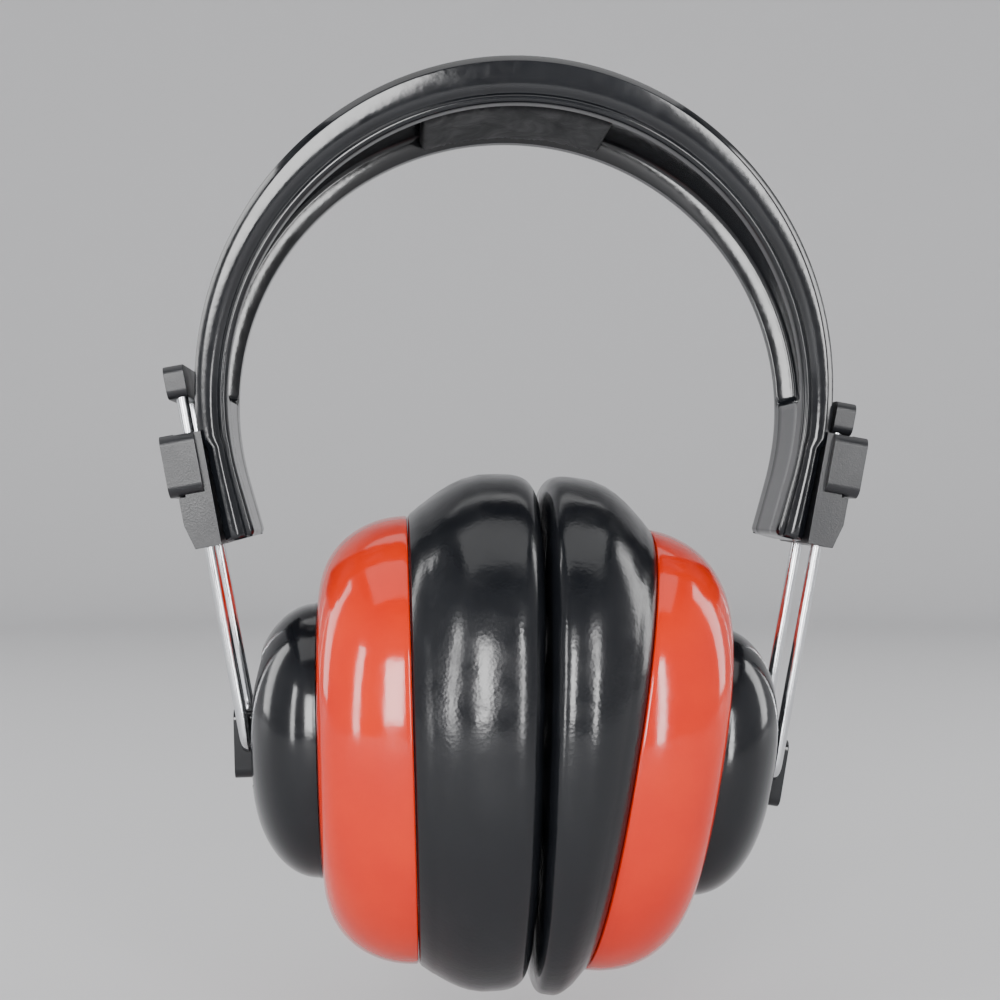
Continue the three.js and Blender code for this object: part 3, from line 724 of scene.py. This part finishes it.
FLOOR_DROP = 15.5 * MM  # from the CAD box to the floor, just below the cups at their lowest and most tilted
FLOOR_R, COVE_R, WALL_TOP, STAGE_SIDES = 1.2, 0.4, 2.0, 96
CAMERA_AIM, CAMERA_DISTANCE = Vector((-0.0029, 0, -0.078)), 0.33
CAMERA_AZIMUTH, CAMERA_ANGLE = math.radians(-3.6), math.radians(35)


def stage():
    """A pale round floor that curves up into a wall on every side."""
    floor_z = cad_box[0].z - FLOOR_DROP
    profile = [(0.3, 0), (0.7, 0), (1.1, 0)]
    for a in np.linspace(0, math.pi / 2, 16):
        profile.append((FLOOR_R + COVE_R * math.sin(a), COVE_R - COVE_R * math.cos(a)))
    profile += [(FLOOR_R + COVE_R, z) for z in (1.2, WALL_TOP)]
    mesh = bpy.data.meshes.new("backdrop")
    bm = bmesh.new()
    turns = np.arange(STAGE_SIDES) / STAGE_SIDES * 2 * math.pi
    rows = []
    for r, z in profile:
        rows.append([bm.verts.new((r * math.cos(a), r * math.sin(a), floor_z + z)) for a in turns])
    bm.faces.new(rows[0])
    for low, high in zip(rows, rows[1:]):
        for i in range(STAGE_SIDES):
            k = (i + 1) % STAGE_SIDES
            bm.faces.new([high[i], high[k], low[k], low[i]])
    bm.to_mesh(mesh)
    bm.free()
    mesh.shade_smooth()
    material, _, _ = shader("backdrop", (0.56, 0.56, 0.57), 0.85)
    mesh.materials.append(material)
    link("backdrop", mesh)


def area_light(name, at, target, size, power):
    """A rectangular lamp that the camera doesn't see: width and height in metres, power in watts."""
    data = bpy.data.lights.new(name, "AREA")
    data.shape, data.size, data.size_y, data.energy = "RECTANGLE", size[0], size[1], power
    obj = bpy.data.objects.new(name, data)
    obj.location = at
    obj.rotation_euler = (Vector(target) - Vector(at)).to_track_quat("-Z", "Y").to_euler()
    obj.visible_camera = False
    bpy.context.scene.collection.objects.link(obj)


def lights():
    """A key and two tall strips in front, two rim lights behind, a wide one overhead and a dim sky."""
    middle = (0, 0, -0.10)
    area_light("key", (-0.26, -1.08, 0.14), middle, (0.30, 0.50), 10.5)
    area_light("left_strip", (-0.82, -0.75, 0.08), middle, (0.15, 0.75), 5.5)
    area_light("right_strip", (0.45, -1.05, 0.08), middle, (0.12, 0.82), 7)
    area_light("left_rim", (-1.1, 0.34, 0.35), middle, (0.35, 1.0), 7)
    area_light("right_rim", (1.1, 0.20, 0.35), middle, (0.35, 1.0), 7)
    area_light("top", (0.0, 0.1, 1.3), middle, (1.8, 1.8), 15)
    world = bpy.data.worlds.new("world")
    world.use_nodes = True
    world.node_tree.nodes["Background"].inputs["Color"].default_value = (0.85, 0.86, 0.88, 1)
    world.node_tree.nodes["Background"].inputs["Strength"].default_value = 0.08
    bpy.context.scene.world = world


def camera():
    """Level with the middle of the set, a little to its left, close enough for a strong perspective."""
    data = bpy.data.cameras.new("camera")
    data.angle = CAMERA_ANGLE
    data.clip_start = 0.01
    obj = bpy.data.objects.new("camera", data)
    back = Vector((math.sin(CAMERA_AZIMUTH), -math.cos(CAMERA_AZIMUTH), 0))
    obj.location = CAMERA_AIM + back * CAMERA_DISTANCE
    obj.rotation_euler = (CAMERA_AIM - obj.location).to_track_quat("-Z", "Y").to_euler()
    bpy.context.scene.collection.objects.link(obj)
    bpy.context.scene.camera = obj


camera()
stage()
lights()
crown_pad()
for name in SIDES:
    band_half(name)
    slider(name)
    yoke(name)
    cup_shell(name)
    outer_cap(name)
    seat_plate(name)
    foam_liner(name)
    cushion(name)
